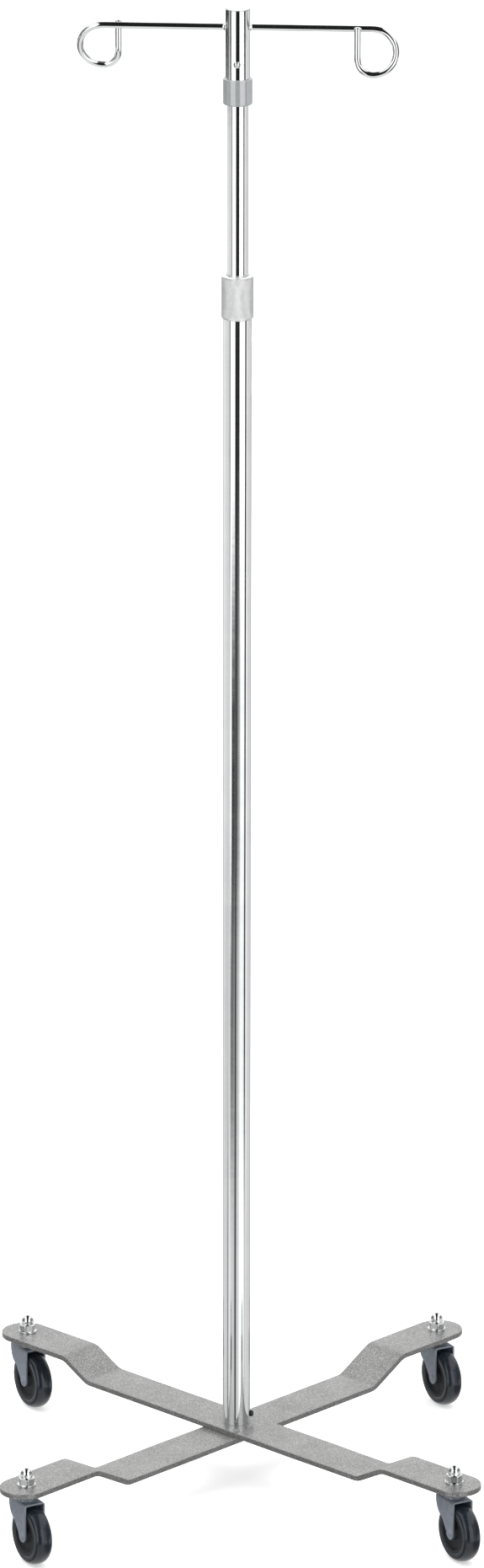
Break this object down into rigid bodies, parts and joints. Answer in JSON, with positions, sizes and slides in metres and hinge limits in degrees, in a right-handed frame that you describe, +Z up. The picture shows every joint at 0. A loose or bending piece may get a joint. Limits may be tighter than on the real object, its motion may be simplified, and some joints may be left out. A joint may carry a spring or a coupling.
{
  "type": "rolling iv pole",
  "caption": "Telescoping chromed drip stand on a crossed-bar base with swivel casters, a twist-lock collar and a lift-off head with two pigtail hooks.",
  "frame": {"origin": "on the floor, on the pole's axis, in the middle of the crossed base bars", "axes": "+Z up along the pole; the base bars run along the diagonals of X and Y; -Y is the front, where the snap button is; the hook arms lie along X, turned 5 degrees about Z as the pole was left"},
  "size_m": [0.435, 0.4453, 1.3897],
  "materials": {
    "bar_paint": "silver-grey vein powder coat with a fine hammered speckle",
    "chrome": "polished chrome plate",
    "zinc": "bright zinc plate, lightly scuffed",
    "dark_steel": "plain oiled steel",
    "black_screw": "black oxide, satin",
    "label_white": "blank white film label, satin",
    "knurled_alloy": "diamond-knurled bare aluminium",
    "nylon_natural": "natural nylon, satin",
    "grey_collar": "smooth mid-grey moulded plastic, satin",
    "cap_light": "light grey glossy plastic",
    "fork_grey": "blue-grey enamel over pressed steel",
    "hub_black": "black moulded nylon",
    "tread_black": "blue-black moulded rubber, semi-gloss"
  },
  "bodies": {
    "base": {"base_bar_upper": "bar_paint", "base_bar_lower": "bar_paint", "locating_rivets": "zinc", "base_bolt": "zinc", "base_lock_washer": "zinc", "stem_washers": "chrome", "cap_nuts": "chrome", "pole_plug": "dark_steel", "plug_screw": "black_screw", "outer_tube": "chrome", "tube_label": "label_white", "lock_ferrule": "dark_steel", "caster_stem_fl": "zinc", "race_cup_fl": "zinc", "caster_stem_fr": "zinc", "race_cup_fr": "zinc", "caster_stem_bl": "zinc", "race_cup_bl": "zinc", "caster_stem_br": "zinc", "race_cup_br": "zinc"},
    "lock_nut": {"lock_collar": "knurled_alloy"},
    "collet": {"collet": "nylon_natural"},
    "sliding_pole": {"inner_tube": "chrome", "tube_glide": "nylon_natural", "snap_spring": "dark_steel"},
    "snap_button": {"snap_button": "chrome"},
    "head": {"head_tube": "chrome", "head_cap": "cap_light", "head_collar": "grey_collar", "hook_left": "chrome", "hook_right": "chrome"},
    "caster_fl": {"fork_fl": "fork_grey", "race_balls_fl": "dark_steel", "axle_fl": "fork_grey", "axle_sleeve_fl": "dark_steel"},
    "wheel_fl": {"wheel_hub_fl": "hub_black", "tyre_fl": "tread_black"},
    "caster_fr": {"fork_fr": "fork_grey", "race_balls_fr": "dark_steel", "axle_fr": "fork_grey", "axle_sleeve_fr": "dark_steel"},
    "wheel_fr": {"wheel_hub_fr": "hub_black", "tyre_fr": "tread_black"},
    "caster_bl": {"fork_bl": "fork_grey", "race_balls_bl": "dark_steel", "axle_bl": "fork_grey", "axle_sleeve_bl": "dark_steel"},
    "wheel_bl": {"wheel_hub_bl": "hub_black", "tyre_bl": "tread_black"},
    "caster_br": {"fork_br": "fork_grey", "race_balls_br": "dark_steel", "axle_br": "fork_grey", "axle_sleeve_br": "dark_steel"},
    "wheel_br": {"wheel_hub_br": "hub_black", "tyre_br": "tread_black"}
  },
  "joints": [
    {"name": "lock_turn", "type": "hinge", "parent": "base", "child": "lock_nut", "pos_m": [0, 0, 1.127], "axis": [0, 0, 1], "range_deg": [0, 180]},
    {"name": "pole_swivel", "type": "hinge", "parent": "base", "child": "collet", "pos_m": [0, 0, 1.135], "axis": [0, 0, 1], "continuous": true},
    {"name": "height_slide", "type": "slide", "parent": "collet", "child": "sliding_pole", "axis": [0, 0, 1], "range_m": [-0.15, 0.8]},
    {"name": "button_press", "type": "slide", "parent": "sliding_pole", "child": "snap_button", "axis": [0.0872, 0.9962, 0], "range_m": [0, 0.0036], "stiffness_N_per_m": 900, "springref_m": -0.002, "deforming": ["snap_spring"]},
    {"name": "head_lift", "type": "slide", "parent": "sliding_pole", "child": "head", "axis": [0, 0, 1], "range_m": [0, 0.08], "deforming": ["snap_button"]},
    {"name": "caster_swivel_fl", "type": "hinge", "parent": "base", "child": "caster_fl", "pos_m": [-0.19325, -0.19325, 0.06], "axis": [0, 0, 1], "continuous": true},
    {"name": "wheel_roll_fl", "type": "hinge", "parent": "caster_fl", "child": "wheel_fl", "pos_m": [-0.18856, -0.20208, 0.0275], "axis": [0.8829, 0.4695, 0], "continuous": true},
    {"name": "caster_swivel_fr", "type": "hinge", "parent": "base", "child": "caster_fr", "pos_m": [0.19325, -0.19325, 0.06], "axis": [0, 0, 1], "continuous": true},
    {"name": "wheel_roll_fr", "type": "hinge", "parent": "caster_fr", "child": "wheel_fr", "pos_m": [0.19795, -0.20208, 0.0275], "axis": [0.8829, 0.4695, 0], "continuous": true},
    {"name": "caster_swivel_bl", "type": "hinge", "parent": "base", "child": "caster_bl", "pos_m": [-0.19325, 0.19325, 0.06], "axis": [0, 0, 1], "continuous": true},
    {"name": "wheel_roll_bl", "type": "hinge", "parent": "caster_bl", "child": "wheel_bl", "pos_m": [-0.18856, 0.18442, 0.0275], "axis": [0.8829, 0.4695, 0], "continuous": true},
    {"name": "caster_swivel_br", "type": "hinge", "parent": "base", "child": "caster_br", "pos_m": [0.19325, 0.19325, 0.06], "axis": [0, 0, 1], "continuous": true},
    {"name": "wheel_roll_br", "type": "hinge", "parent": "caster_br", "child": "wheel_br", "pos_m": [0.19795, 0.18442, 0.0275], "axis": [0.8829, 0.4695, 0], "continuous": true}
  ]
}
